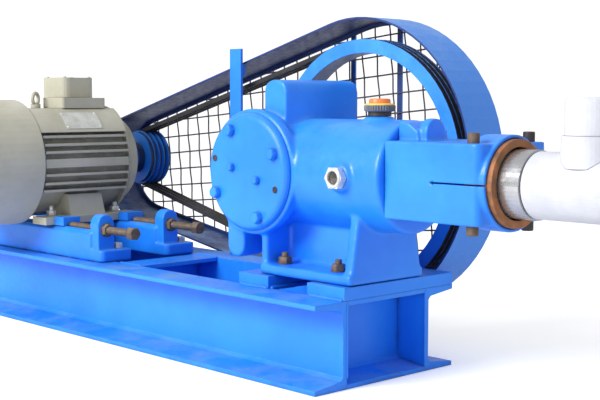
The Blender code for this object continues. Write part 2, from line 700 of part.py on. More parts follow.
def make_pump_end():
    axis = (0, CRANK_Z)
    start = CROSSHEAD_END_X + GAP
    top = CRANK_Z + CLAMP_HALF_HEIGHT
    cheeks = cheek_outline(start, CLAMP_END_X - 0.004, 0.012)
    clamp = extruded("clamp_block", "Z", cheeks, CRANK_Z - CLAMP_HALF_HEIGHT, top)
    join(clamp, rod("mouth", "X", axis, (0.832, CLAMP_MOUTH_X), CLAMP_MOUTH_RADIUS, steps=64))
    gusset = [(start, top - 0.004), (CLAMP_EAR_X[0] + 0.006, top - 0.004),
              (CLAMP_EAR_X[0] + 0.002, top + 0.016), (start + 0.020, top + 0.030), (start, top + 0.032)]
    join(clamp, extruded("gusset", "Y", gusset, -0.046, 0.030))
    ear = [(CLAMP_EAR_Y - 0.024, top - 0.004), (CLAMP_EAR_Y + 0.024, top - 0.004)]
    for i in range(9):
        angle = pi * i / 8
        ear.append((CLAMP_EAR_Y + 0.024 * cos(angle), top + 0.0145 + 0.022 * sin(angle)))
    join(clamp, extruded("ear", "X", ear, *CLAMP_EAR_X))
    past_end = CLAMP_MOUTH_X + 0.05
    bore = rod("bore", "X", axis, (RING_START_X, past_end), RING_OUTER_RADIUS + GAP, steps=56)
    slit = box("slit", (SLIT_START_X, past_end), (-0.15, 0.15), (CRANK_Z - 0.001, CRANK_Z + 0.001))
    join(slit, rod("slit_end", "Y", (SLIT_START_X, CRANK_Z), (-0.16, 0.16), 0.003, steps=14))
    cut(clamp, slit, bore)
    smooth(clamp)

    low = RING_START_X + GAP
    profile = [(low, RING_INNER_RADIUS), (low, RING_OUTER_RADIUS), (RING_END_X, RING_OUTER_RADIUS),
               (RING_END_X, RING_INNER_RADIUS)]
    smooth(turned("clamp_ring", "X", axis, profile, "bronze", 56, closed=True))

    smooth(rod("steel_spigot", "X", axis, (low, COLD_START_X - GAP), SPIGOT_RADIUS, "bright_steel", 48))

    profile = [(COLD_START_X, 0), (COLD_START_X, COLD_RADIUS - 0.003), (COLD_START_X + 0.003, COLD_RADIUS),
               (COLD_END_X, COLD_RADIUS), (COLD_END_X, 0)]
    smooth(turned("cold_cylinder", "X", axis, profile, "white_coat", 56))

    low = COLD_END_X + GAP
    profile = [(low, 0), (low, 0.066), (low + 0.022, 0.066), (low + 0.025, 0.063), (low + 0.025, 0.034),
               (low + 0.060, 0.034), (low + 0.060, 0)]
    smooth(turned("cold_head", "X", axis, profile, "white_coat", 48))

    collar = rod("valve_collar", "Z", (VALVE_X, 0), (CRANK_Z + 0.030, VALVE_SEAT_Z), 0.047, "white_coat", 40)
    cut(collar, rod("saddle", "X", axis, (0.8, 1.2), COLD_RADIUS + GAP, steps=56))
    smooth(collar)
    low = VALVE_SEAT_Z + GAP
    profile = [(low, 0), (low, 0.0427), (low + 0.053, 0.0427), (low + 0.057, 0.039), (low + 0.057, 0)]
    smooth(turned("valve_cap", "Z", (VALVE_X, 0), profile, "white_coat", 40))


def build():
    for old in list(bpy.data.objects):
        bpy.data.objects.remove(old)
    make_base()
    make_rail("near", NEAR_RAIL_Y)
    make_rail("far", FAR_RAIL_Y)
    make_motor()
    make_drive()
    make_guard()
    make_crankcase()
    make_fittings()
    make_pump_end()


build()
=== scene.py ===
# %% [markdown]
# # A pump for liquid carbon dioxide, dressed for its portrait
# The pump stands on a frame of rolled steel channels. A grey electric motor at one end turns
# a big flywheel through three V-belts, and the crank inside the blue casting pushes a plunger
# into the frosted white cylinder at the other end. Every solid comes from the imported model,
# in metres, and this lesson adds the finishes and the small fittings, one step a cell.

# %% Load the frame
from math import cos, pi, radians, sin, tau

import bmesh
import bpy
from mathutils import Matrix, Vector, noise


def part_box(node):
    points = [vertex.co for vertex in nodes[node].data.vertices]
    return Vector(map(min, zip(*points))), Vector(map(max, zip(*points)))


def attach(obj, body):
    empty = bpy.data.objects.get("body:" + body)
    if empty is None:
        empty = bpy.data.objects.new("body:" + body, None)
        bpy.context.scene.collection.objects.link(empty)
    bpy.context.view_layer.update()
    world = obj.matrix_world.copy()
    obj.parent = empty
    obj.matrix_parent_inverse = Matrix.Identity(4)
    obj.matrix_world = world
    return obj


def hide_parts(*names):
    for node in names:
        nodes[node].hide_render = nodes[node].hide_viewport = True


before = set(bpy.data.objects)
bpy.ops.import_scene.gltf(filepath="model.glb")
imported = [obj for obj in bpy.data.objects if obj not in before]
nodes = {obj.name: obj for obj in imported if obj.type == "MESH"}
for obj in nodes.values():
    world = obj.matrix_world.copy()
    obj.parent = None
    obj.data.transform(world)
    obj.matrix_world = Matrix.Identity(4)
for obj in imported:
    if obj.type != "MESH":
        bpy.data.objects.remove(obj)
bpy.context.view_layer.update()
FRAME = "pump_frame"
scene = bpy.context.scene

# %% [markdown]
# ## The camera
# The photographer stood off the cold end of the pump, a little higher than its axis, with a
# lens of about 72 mm. The three directions of the view are worked out from the heading and
# the tilt, and they become the columns of the camera's matrix.

# %% The camera
HEADING = 2.38212
TILT = 0.0832924
LEAN = 0.0012335
forward = Vector((cos(HEADING) * cos(TILT), sin(HEADING) * cos(TILT), -sin(TILT)))
level_right = Vector((sin(HEADING), -cos(HEADING), 0.0))
level_up = level_right.cross(forward)
right = cos(LEAN) * level_right + sin(LEAN) * level_up
up = cos(LEAN) * level_up - sin(LEAN) * level_right
view = Matrix((right, up, -forward)).transposed().to_4x4()
view.translation = (1.99888, -1.51866, 0.485)
camera_data = bpy.data.cameras.new("portrait_camera")
camera_data.lens = 71.64
camera_data.sensor_width = 36.0
camera = bpy.data.objects.new("portrait_camera", camera_data)
camera.matrix_world = view
scene.collection.objects.link(camera)
scene.camera = camera
print("camera at", tuple(round(v, 3) for v in camera.location))

# %% [markdown]
# ## Floor and studio light
# The part stands on a plain pale floor in front of a white studio. One broad soft light
# stands on the near side, so the near faces are bright, the tops are a step darker and the
# faces towards the cold end stay in shade, as they are on the real pump. The floor has a faint
# glow that only the camera sees, so it runs into the white behind it without a horizon.

# %% Floor and light
scene.view_settings.view_transform = "Standard"


def plain_material(name, colour, roughness, glow):
    made = bpy.data.materials.new(name)
    made.use_nodes = True
    shader = made.node_tree.nodes["Principled BSDF"]
    shader.inputs["Base Color"].default_value = (*colour, 1.0)
    shader.inputs["Roughness"].default_value = roughness
    shader.inputs["Emission Color"].default_value = (1.0, 1.0, 1.0, 1.0)
    path = made.node_tree.nodes.new("ShaderNodeLightPath")
    seen_glow = made.node_tree.nodes.new("ShaderNodeMath")
    seen_glow.operation = "MULTIPLY"
    seen_glow.inputs[1].default_value = glow
    made.node_tree.links.new(path.outputs["Is Camera Ray"], seen_glow.inputs[0])
    made.node_tree.links.new(seen_glow.outputs[0], shader.inputs["Emission Strength"])
    return made


floor_mesh = bpy.data.meshes.new("studio_floor")
floor_mesh.from_pydata([(-9, -9, 0), (9, -9, 0), (9, 9, 0), (-9, 9, 0)], [], [(0, 1, 2, 3)])
floor_mesh.materials.append(plain_material("pale_floor", (0.88, 0.88, 0.88), 0.8, 0.35))
studio_floor = bpy.data.objects.new("studio_floor", floor_mesh)
studio_floor.location.z = -0.0005
scene.collection.objects.link(studio_floor)

world = bpy.data.worlds.new("white_studio")
world.use_nodes = True
sky_nodes = world.node_tree.nodes
sky_links = world.node_tree.links
sky = sky_nodes["Background"]
sky.inputs["Color"].default_value = (0.97, 0.985, 1.0, 1.0)
sky.inputs["Strength"].default_value = 0.74
backdrop = sky_nodes.new("ShaderNodeBackground")
backdrop.inputs["Color"].default_value = (1.0, 1.0, 1.0, 1.0)
backdrop.inputs["Strength"].default_value = 1.1
seen = sky_nodes.new("ShaderNodeLightPath")
blend = sky_nodes.new("ShaderNodeMixShader")
sky_links.new(seen.outputs["Is Camera Ray"], blend.inputs["Fac"])
sky_links.new(sky.outputs["Background"], blend.inputs[1])
sky_links.new(backdrop.outputs["Background"], blend.inputs[2])
sky_links.new(blend.outputs["Shader"], sky_nodes["World Output"].inputs["Surface"])
scene.world = world


def soft_light(name, place, aim, size, power):
    data = bpy.data.lights.new(name, "AREA")
    data.shape = "DISK"
    data.size = size
    data.energy = power
    lamp = bpy.data.objects.new(name, data)
    lamp.location = place
    lamp.rotation_euler = (Vector(aim) - Vector(place)).to_track_quat("-Z", "Y").to_euler()
    scene.collection.objects.link(lamp)


soft_light("near_side_light", (-0.4, -4.2, 2.7), (0.1, 0.0, 0.3), 2.2, 255)
print("floor, white studio and one broad light")

# %% [markdown]
# ## Shared effects for the finishes
# Shop-floor paint is never one flat colour. The same few effects return in many finishes, so
# each is a node group that is built once. These helpers add one kind of node and link it, and
# each gives back the socket that the next step needs.

# %% Helpers for node trees
def new_group(name, inputs, outputs):
    """An empty shader node group with named sockets, and its input and output nodes."""
    tree = bpy.data.node_groups.new(name, "ShaderNodeTree")
    for socket_name, kind, value in inputs:
        made = tree.interface.new_socket(socket_name, in_out="INPUT", socket_type="NodeSocket" + kind)
        made.default_value = value
    for socket_name, kind in outputs:
        tree.interface.new_socket(socket_name, in_out="OUTPUT", socket_type="NodeSocket" + kind)
    return tree, tree.nodes.new("NodeGroupInput"), tree.nodes.new("NodeGroupOutput")


def noise_of(tree, place, scale, detail=3.0, roughness=0.55):
    made = tree.nodes.new("ShaderNodeTexNoise")
    made.inputs["Detail"].default_value = detail
    made.inputs["Roughness"].default_value = roughness
    tree.links.new(place, made.inputs["Vector"])
    if hasattr(scale, "links"):
        tree.links.new(scale, made.inputs["Scale"])
    else:
        made.inputs["Scale"].default_value = scale
    return made.outputs["Fac"]


def ranged(tree, value, low, high, to_low=0.0, to_high=1.0):
    made = tree.nodes.new("ShaderNodeMapRange")
    made.clamp = True
    for index, number in enumerate((low, high, to_low, to_high)):
        made.inputs[index + 1].default_value = number
    tree.links.new(value, made.inputs[0])
    return made.outputs[0]


def sum_of(tree, operation, first, second, third=None):
    made = tree.nodes.new("ShaderNodeMath")
    made.operation = operation
    for index, value in enumerate((first, second, third)):
        if value is None:
            continue
        if hasattr(value, "links"):
            tree.links.new(value, made.inputs[index])
        else:
            made.inputs[index].default_value = value
    return made.outputs[0]


def mixed(tree, mask, first, second):
    made = tree.nodes.new("ShaderNodeMix")
    made.data_type = "RGBA"
    for socket, value in ((made.inputs[0], mask), (made.inputs[6], first), (made.inputs[7], second)):
        if hasattr(value, "links"):
            tree.links.new(value, socket)
        elif isinstance(value, tuple):
            socket.default_value = (*value, 1.0)
        else:
            socket.default_value = value
    return made.outputs[2]


print("helpers for node trees ready")

# %% [markdown]
# The effects are a slow drift of the colour with fine mottling, grime and painted shade that
# gather where two surfaces meet, dust that settles on whatever faces up, edges where paint is
# worn, and a mask that tells the outer faces of a wheel or a band from its inner ones.

# %% Build the effects
def build_mottle():
    """Two tones of a colour, drifting over the piece, with finer mottling inside."""
    tree, given, out = new_group(
        "colour_drift",
        [("Main", "Color", (0.5, 0.5, 0.5, 1)), ("Faded", "Color", (0.6, 0.6, 0.6, 1)),
         ("Scale", "Float", 6.0), ("Fine Scale", "Float", 90.0)],
        [("Colour", "Color"), ("Drift", "Float"), ("Fine", "Float")])
    place = tree.nodes.new("ShaderNodeTexCoord").outputs["Object"]
    slow = noise_of(tree, place, given.outputs["Scale"], 4.0, 0.6)
    fine = noise_of(tree, place, given.outputs["Fine Scale"], 2.0, 0.5)
    drift = ranged(tree, slow, 0.36, 0.66)
    both = sum_of(tree, "MULTIPLY_ADD", fine, 0.35, drift)
    mask = ranged(tree, both, 0.1, 1.25)
    tree.links.new(mixed(tree, mask, given.outputs["Main"], given.outputs["Faded"]), out.inputs["Colour"])
    tree.links.new(drift, out.inputs["Drift"])
    tree.links.new(fine, out.inputs["Fine"])
    return tree


def build_grime_and_shade():
    """How much dirt and painted shade lie at a point: corners, where shade falls, gather both, and noise
    breaks them up.
    """
    tree, given, out = new_group(
        "corner_grime_and_shade",
        [("Reach", "Float", 0.02), ("Amount", "Float", 1.0), ("Scale", "Float", 30.0)],
        [("Mask", "Float")])
    near = tree.nodes.new("ShaderNodeAmbientOcclusion")
    near.samples = 6
    tree.links.new(given.outputs["Reach"], near.inputs["Distance"])
    place = tree.nodes.new("ShaderNodeTexCoord").outputs["Object"]
    patches = noise_of(tree, place, given.outputs["Scale"], 5.0, 0.65)
    # Corners that the ambient occlusion finds closed in get painted shade and dirt.
    closed_in = ranged(tree, near.outputs["AO"], 0.75, 0.25)
    broken = sum_of(tree, "MULTIPLY", closed_in, ranged(tree, patches, 0.3, 0.62))
    tree.links.new(sum_of(tree, "MULTIPLY", broken, given.outputs["Amount"]), out.inputs["Mask"])
    return tree


def build_dust():
    """A thin film of dust on whatever faces up, lying in soft patches."""
    tree, given, out = new_group(
        "settled_dust",
        [("Amount", "Float", 1.0), ("Scale", "Float", 9.0)],
        [("Mask", "Float")])
    shape = tree.nodes.new("ShaderNodeNewGeometry")
    split = tree.nodes.new("ShaderNodeSeparateXYZ")
    tree.links.new(shape.outputs["Normal"], split.inputs[0])
    place = tree.nodes.new("ShaderNodeTexCoord").outputs["Object"]
    patches = noise_of(tree, place, given.outputs["Scale"], 6.0, 0.7)
    facing = ranged(tree, split.outputs["Z"], 0.55, 0.95)
    film = sum_of(tree, "MULTIPLY", facing, ranged(tree, patches, 0.42, 0.68))
    tree.links.new(sum_of(tree, "MULTIPLY", film, given.outputs["Amount"]), out.inputs["Mask"])
    return tree


def build_edges():
    """Marks edges: there the rounded normal leaves the face's own."""
    tree, given, out = new_group(
        "worn_edges",
        [("Width", "Float", 0.002), ("Amount", "Float", 1.0), ("Scale", "Float", 60.0)],
        [("Mask", "Float")])
    rounded = tree.nodes.new("ShaderNodeBevel")
    rounded.samples = 4
    tree.links.new(given.outputs["Width"], rounded.inputs["Radius"])
    shape = tree.nodes.new("ShaderNodeNewGeometry")
    alike = tree.nodes.new("ShaderNodeVectorMath")
    alike.operation = "DOT_PRODUCT"
    tree.links.new(rounded.outputs["Normal"], alike.inputs[0])
    tree.links.new(shape.outputs["Normal"], alike.inputs[1])
    place = tree.nodes.new("ShaderNodeTexCoord").outputs["Object"]
    patches = noise_of(tree, place, given.outputs["Scale"], 4.0, 0.6)
    edge = ranged(tree, alike.outputs["Value"], 0.985, 0.90)
    broken = sum_of(tree, "MULTIPLY", edge, ranged(tree, patches, 0.48, 0.6))
    tree.links.new(sum_of(tree, "MULTIPLY", broken, given.outputs["Amount"]), out.inputs["Mask"])
    return tree


def build_outward():
    """1 on faces that look away from an axis along Y, and 0 on those that look at it."""
    tree, given, out = new_group(
        "outward_faces",
        [("Centre", "Vector", (0.0, 0.0, 0.0))],
        [("Outward", "Float"), ("Inward", "Float")])
    place = tree.nodes.new("ShaderNodeTexCoord").outputs["Object"]
    shape = tree.nodes.new("ShaderNodeNewGeometry")
    steps = []
    for operation in ("SUBTRACT", "MULTIPLY", "NORMALIZE", "DOT_PRODUCT"):
        step = tree.nodes.new("ShaderNodeVectorMath")
        step.operation = operation
        if steps:
            tree.links.new(steps[-1].outputs["Vector"], step.inputs[0])
        steps.append(step)
    tree.links.new(place, steps[0].inputs[0])
    tree.links.new(given.outputs["Centre"], steps[0].inputs[1])
    steps[1].inputs[1].default_value = (1.0, 0.0, 1.0)
    tree.links.new(shape.outputs["Normal"], steps[3].inputs[1])
    facing = steps[3].outputs["Value"]
    tree.links.new(ranged(tree, facing, 0.1, 0.5), out.inputs["Outward"])
    tree.links.new(ranged(tree, facing, -0.1, -0.5), out.inputs["Inward"])
    return tree


EFFECTS = {"drift": build_mottle(), "outward": build_outward(), "grime_and_shade": build_grime_and_shade(),
           "dust": build_dust(), "edges": build_edges()}
print("effects:", ", ".join(EFFECTS))

# %% [markdown]
# ## The finishes
# Each finish is one material. It starts from a drifting colour, lays grime and painted shade in
# the corners, dust and worn edges over it, and ends in one Principled shader whose gloss and
# bump follow the same masks.

# %% Helper for a finish
def use_effect(tree, effect, **values):
    node = tree.nodes.new("ShaderNodeGroup")
    node.node_tree = EFFECTS[effect]
    for key, value in values.items():
        socket = node.inputs[key.replace("_", " ")]
        is_colour = isinstance(value, tuple) and socket.type == "RGBA"
        socket.default_value = (*value, 1.0) if is_colour else value
    return node.outputs


def finish(name, main, faded, scale=6.0, roughness=(0.3, 0.45), bump=0.25, grain=220.0,
           grime_and_shade=0.5, grime_and_shade_colour=(0.05, 0.045, 0.04), dust=0.25, dust_colour=(0.55, 0.53, 0.50),
           wear=0.0, wear_colour=(0.20, 0.11, 0.07), metallic=0.0, coat=0.0, depth=0.0004,
           corner=0.002, centre=None, outward_colour=None, inward_colour=None):
    """A painted, cast or metal surface with its own drift, corner grime and painted shade, dust and worn
    edges.
    """
    made = bpy.data.materials.new(name)
    made.use_nodes = True
    tree = made.node_tree
    shader = tree.nodes["Principled BSDF"]
    drift = use_effect(tree, "drift", Main=main, Faded=faded, Scale=scale)
    colour = drift["Colour"]
    rough = ranged(tree, drift["Fine"], 0.3, 0.7, roughness[0], roughness[1])
    if centre:
        around = use_effect(tree, "outward", Centre=centre)
        if outward_colour:
            colour = mixed(tree, around["Outward"], colour, outward_colour)
        if inward_colour:
            colour = mixed(tree, around["Inward"], colour, inward_colour)
    if wear:
        mask = use_effect(tree, "edges", Amount=wear)["Mask"]
        colour = mixed(tree, mask, colour, wear_colour)
    if dust:
        mask = use_effect(tree, "dust", Amount=dust)["Mask"]
        colour = mixed(tree, mask, colour, dust_colour)
        rough = sum_of(tree, "MULTIPLY_ADD", mask, 0.4, rough)
    if grime_and_shade:
        mask = use_effect(tree, "grime_and_shade", Amount=grime_and_shade)["Mask"]
        colour = mixed(tree, mask, colour, grime_and_shade_colour)
        rough = sum_of(tree, "MULTIPLY_ADD", mask, 0.3, rough)
    tree.links.new(colour, shader.inputs["Base Color"])
    tree.links.new(rough, shader.inputs["Roughness"])
    shader.inputs["Metallic"].default_value = metallic
    shader.inputs["Coat Weight"].default_value = coat
    shader.inputs["Coat Roughness"].default_value = 0.15
    place = tree.nodes.new("ShaderNodeTexCoord").outputs["Object"]
    lumps = noise_of(tree, place, grain, 4.0, 0.6)
    lift = tree.nodes.new("ShaderNodeBump")
    lift.inputs["Strength"].default_value = bump
    lift.inputs["Distance"].default_value = depth
    tree.links.new(lumps, lift.inputs["Height"])
    if corner:
        rounded = tree.nodes.new("ShaderNodeBevel")
        rounded.samples = 4
        rounded.inputs["Radius"].default_value = corner
        tree.links.new(rounded.outputs["Normal"], lift.inputs["Normal"])
    tree.links.new(lift.outputs["Normal"], shader.inputs["Normal"])
    return made


# %% [markdown]
# The two blues are used again and again. The wheel, the pulley and the guard each name their
# centre, unlike the rest, so their outer and inner faces can differ: the outer faces of the
# wheel and the pulley are painted dark as painted shade, the wheel's inner faces turn a dull
# grey-blue, and the guard is painted navy as the painted shade of its inside, with its own blue
# only on its outer faces.

# %% Mix the finishes
BLUE = (0.006, 0.195, 0.86)
BLUE_FADED = (0.018, 0.265, 0.96)
WHEEL_CENTRE = (0.372, 0.215, 0.356)
GUARD_CENTRE = (0.10, 0.22, 0.350)
PULLEY_CENTRE = (-0.370, 0.215, 0.3473)
# In the painted finishes, the frost and the polished steel the corner grime is a darker tone of the
# surface's own colour: painted shade where two surfaces meet. In the other metals and plastics it is brown
# dirt.
FINISHES = {
    "cast_blue": finish(
        "cast_blue", BLUE, BLUE_FADED, 6.0, (0.30, 0.46), 0.5, 120.0, coat=0.1, corner=0.004,
        grime_and_shade=0.8, grime_and_shade_colour=(0.006, 0.06, 0.30), dust=0.25, dust_colour=(0.22, 0.50, 0.95)),
    "frame_blue": finish(
        "frame_blue", BLUE, BLUE_FADED, 4.0, (0.32, 0.52), 0.3, 80.0, coat=0.05, corner=0.003,
        grime_and_shade=0.9, grime_and_shade_colour=(0.012, 0.035, 0.11), dust=0.55, dust_colour=(0.22, 0.36, 0.52),
        wear=0.45, wear_colour=(0.20, 0.45, 0.75)),
    # The wheel's outer faces are painted dark navy: painted shade under the guard's band and the belts. Its
    # faces that look at its axis turn a dull grey-blue.
    "wheel_blue_with_painted_shade": finish(
        "wheel_blue_with_painted_shade", (0.016, 0.22, 0.86), (0.05, 0.34, 0.95), 8.0, (0.35, 0.55), 0.3, 120.0,
        grime_and_shade=0.7, grime_and_shade_colour=(0.02, 0.03, 0.08), dust=0.2, centre=WHEEL_CENTRE,
        outward_colour=(0.012, 0.045, 0.17), inward_colour=(0.16, 0.19, 0.25)),
    # The pulley's outer faces are painted dark navy: painted shade under the belts and the guard's band.
    "pulley_blue_with_painted_shade": finish(
        "pulley_blue_with_painted_shade", BLUE, BLUE_FADED, 8.0, (0.35, 0.55), 0.3, 120.0, grime_and_shade=0.7,
        grime_and_shade_colour=(0.01, 0.03, 0.12), centre=PULLEY_CENTRE,
        outward_colour=(0.010, 0.025, 0.08)),
    # The guard is painted navy all over, as painted shade for its inside and its back bars; only its outer
    # faces carry its own blue.
    "guard_blue_with_painted_shade": finish(
        "guard_blue_with_painted_shade", (0.008, 0.028, 0.13), (0.013, 0.045, 0.20), 6.0, (0.32, 0.5), 0.3, 60.0,
        grime_and_shade=0.5, grime_and_shade_colour=(0.008, 0.012, 0.04), dust=0.7, dust_colour=(0.30, 0.47, 0.72),
        centre=GUARD_CENTRE, outward_colour=(0.045, 0.24, 0.78)),
    "motor_grey": finish(
        "motor_grey", (0.40, 0.385, 0.295), (0.49, 0.47, 0.38), 9.0, (0.38, 0.55), 0.3, 160.0,
        grime_and_shade=0.6, grime_and_shade_colour=(0.15, 0.135, 0.095), dust=0.35, dust_colour=(0.60, 0.60, 0.53),
        wear=0.2, wear_colour=(0.55, 0.54, 0.48), corner=0.003),
    "plate_metal": finish(
        "plate_metal", (0.56, 0.56, 0.52), (0.74, 0.74, 0.70), 40.0, (0.3, 0.5), 0.15, 500.0,
        grime_and_shade=0.4, dust=0.0, metallic=0.6, corner=0.0),
    "rusty_steel": finish(
        "rusty_steel", (0.105, 0.070, 0.048), (0.21, 0.155, 0.11), 60.0, (0.45, 0.8), 0.8,
        700.0, grime_and_shade=0.8, dust=0.3, metallic=0.35, corner=0.001),
    "dark_steel": finish(
        "dark_steel", (0.030, 0.026, 0.026), (0.075, 0.058, 0.050), 60.0, (0.4, 0.6), 0.5,
        500.0, grime_and_shade=0.5, dust=0.2, metallic=0.3, corner=0.001),
    "cast_bronze": finish(
        "cast_bronze", (0.21, 0.095, 0.045), (0.45, 0.17, 0.06), 45.0, (0.40, 0.65), 0.7, 300.0,
        grime_and_shade=0.9, grime_and_shade_colour=(0.07, 0.03, 0.018), dust=0.1, metallic=0.3, wear=0.5,
        wear_colour=(0.75, 0.42, 0.20)),
    "polished_steel": finish(
        "polished_steel", (0.42, 0.42, 0.43), (0.58, 0.58, 0.60), 10.0, (0.20, 0.32), 0.1,
        500.0, grime_and_shade=0.2, grime_and_shade_colour=(0.16, 0.16, 0.17), dust=0.0, metallic=0.85,
        corner=0.001),
    "zinc": finish(
        "zinc", (0.60, 0.60, 0.58), (0.85, 0.85, 0.83), 80.0, (0.25, 0.5), 0.3, 500.0,
        grime_and_shade=0.6, grime_and_shade_colour=(0.10, 0.08, 0.06), dust=0.1, metallic=0.55, corner=0.001),
    "dull_wire": finish(
        "dull_wire", (0.060, 0.062, 0.100), (0.14, 0.11, 0.10), 25.0, (0.4, 0.6), 0.3, 600.0,
        grime_and_shade=0.3, dust=0.2, metallic=0.3, corner=0.0),
    "belt_rubber": finish(
        "belt_rubber", (0.012, 0.012, 0.015), (0.030, 0.028, 0.031), 14.0, (0.55, 0.8), 0.4,
        400.0, grime_and_shade=0.3, dust=0.2, dust_colour=(0.12, 0.12, 0.14), corner=0.001),
    "frost_white": finish(
        "frost_white", (0.54, 0.55, 0.61), (0.65, 0.66, 0.71), 12.0, (0.5, 0.7), 0.7, 90.0,
        grime_and_shade=0.5, grime_and_shade_colour=(0.33, 0.34, 0.40), dust=0.0, depth=0.001),
    "dark_glass": finish(
        "dark_glass", (0.015, 0.013, 0.010), (0.05, 0.04, 0.03), 60.0, (0.04, 0.10), 0.0, 500.0,
        grime_and_shade=0.0, dust=0.0, coat=1.0, corner=0.0),
    "grey_plastic": finish(
        "grey_plastic", (0.11, 0.12, 0.15), (0.19, 0.20, 0.24), 60.0, (0.4, 0.6), 0.3, 600.0,
        grime_and_shade=0.7, dust=0.3, corner=0.0008),
    "yellow_plastic": finish(
        "yellow_plastic", (0.80, 0.50, 0.05), (0.88, 0.62, 0.12), 60.0, (0.35, 0.5), 0.1, 600.0,
        grime_and_shade=0.3, dust=0.1, corner=0.0),
    "orange_plastic": finish(
        "orange_plastic", (0.80, 0.16, 0.04), (0.90, 0.26, 0.07), 30.0, (0.3, 0.45), 0.2, 500.0,
        dust=0.2, corner=0.001),
}
print("finishes:", ", ".join(FINISHES))

# %% [markdown]
# ## Dressing the solids
# The main solids keep their shape and get a finish. The list below says which finish each
# solid wears, with the colour of the rolled base first.

# %% Dress the solids
WEARS = {
    "frame_blue": ["near_channel", "far_channel", "pump_end_channel", "middle_channel", "motor_end_channel",
                   "inner_pump_pad", "outer_pump_pad", "near_slide_rail", "far_slide_rail",
                   "near_push_block", "far_push_block", "guard_stay"],
    "pulley_blue_with_painted_shade": ["motor_pulley"],
    "wheel_blue_with_painted_shade": ["flywheel", "flywheel_arms"],
    "cast_blue": ["crankcase", "crankcase_cover", "bearing_cover", "clamp_block"],
    "guard_blue_with_painted_shade": ["guard_band", "guard_back_bar_1", "guard_back_bar_2"],
    "motor_grey": ["motor_frame", "motor_fan_cowl", "motor_end_shield", "terminal_box", "terminal_box_base",
                   "eye_bolt"],
    "rusty_steel": ["near_tension_bolt", "far_tension_bolt"],
    "cast_bronze": ["clamp_ring"],
    "polished_steel": ["steel_spigot", "motor_shaft", "crankshaft"],
    "zinc": ["sight_glass"],
    "dull_wire": ["guard_mesh"],
    "belt_rubber": ["belt_1", "belt_2", "belt_3"],
    "frost_white": ["cold_cylinder", "cold_head", "valve_collar", "valve_cap"],
    "orange_plastic": ["oil_filler_cap"],
}
for finish_name, dressed in WEARS.items():
    for node_name in dressed:
        slots = nodes[node_name].data.materials
        slots.clear()
        slots.append(FINISHES[finish_name])
        for polygon in nodes[node_name].data.polygons:
            polygon.material_index = 0
missing = sorted(set(nodes) - {n for dressed in WEARS.values() for n in dressed})
print("dressed", len(nodes) - len(missing), "nodes; left plain:", missing or "none")

# %% [markdown]
# ## Castings with melted corners
# The pump's body, the clamp and the slide rails are sand castings, so no corner on them is
# sharp. Bevelling each edge by hand would be slow on joined shapes. A voxel remesh gives a
# copy of the solid an even skin instead, and a few rounds of smoothing melt its corners. The
# clamp's narrow slit would close in the remesh, so it is cut again afterwards, with a thin bar.

# %% A new piece, and a cast copy of a solid
def new_piece(name, mesh, finish_name, body=FRAME, node=None):
    """Puts a mesh in the scene as one piece that rides on a body, in one finish."""
    mesh.materials.clear()
    mesh.materials.append(FINISHES[finish_name])
    piece = bpy.data.objects.new(name, mesh)
    scene.collection.objects.link(piece)
    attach(piece, body)
    if node:
        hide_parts(node)
    return piece


def cast_copy(node_name, voxel, rounds, finish_name="cast_blue", cutter=None):
    """A copy of a solid with its corners melted, which stands for the solid."""
    piece = new_piece(node_name + "_casting", nodes[node_name].data.copy(), finish_name,
                      node=node_name)
    skin = piece.modifiers.new("even_skin", "REMESH")
    skin.mode = "VOXEL"
    skin.voxel_size = voxel
    melted = piece.modifiers.new("melted_corners", "SMOOTH")
    melted.factor = 0.5
    melted.iterations = rounds
    if cutter:
        opened = piece.modifiers.new("opened_slit", "BOOLEAN")
        opened.operation = "DIFFERENCE"
        opened.object = cutter
    graph = bpy.context.evaluated_depsgraph_get()
    piece.data = bpy.data.meshes.new_from_object(piece.evaluated_get(graph))
    piece.modifiers.clear()
    piece.data.shade_smooth()
    return piece


def bar_mesh(name, low, high):
    """A plain bar between two corners, for cutting, with all its faces looking outwards."""
    data = bmesh.new()
    corners = [data.verts.new((x, y, z)) for x in (low[0], high[0]) for y in (low[1], high[1])
               for z in (low[2], high[2])]
    for face in ((0, 1, 3, 2), (4, 6, 7, 5), (0, 4, 5, 1), (2, 3, 7, 6), (0, 2, 6, 4), (1, 5, 7, 3)):
        data.faces.new([corners[i] for i in face])
    bmesh.ops.recalc_face_normals(data, faces=data.faces)
    mesh = bpy.data.meshes.new(name)
    data.to_mesh(mesh)
    data.free()
    return mesh


CRANK_X = 0.372
AXIS_Z = 0.356
SLIT_X = (0.779, 0.93)
SLIT_HALF = 0.0015
slit_mesh = bar_mesh("slit_bar", (SLIT_X[0], -0.12, AXIS_Z - SLIT_HALF),
                     (SLIT_X[1], 0.12, AXIS_Z + SLIT_HALF))
slit_bar = bpy.data.objects.new("slit_bar", slit_mesh)
scene.collection.objects.link(slit_bar)
castings = [
    cast_copy("crankcase", 0.003, 14),
    cast_copy("clamp_block", 0.0019, 5, cutter=slit_bar),
    cast_copy("near_slide_rail", 0.0022, 4, "frame_blue"),
    cast_copy("far_slide_rail", 0.0022, 4, "frame_blue"),
]
bpy.data.objects.remove(slit_bar)
for casting in castings:
    print(casting.name, len(casting.data.polygons), "faces")

# %% [markdown]
# ## Bolts, nuts and studs
# A bolt head is a hexagon whose top corners are turned off round. It is stacked up from rings
# of 24 points: a hexagon's ring has its points on the flats and corners, and the last ring is
# a plain circle, so the turned-off corners come by themselves.

# %% Rings, stacks and bolt heads
RING_STEPS = 24


def round_ring(radius, height):
    steps = [tau * i / RING_STEPS for i in range(RING_STEPS)]
    return [(radius * cos(a), radius * sin(a), height) for a in steps]


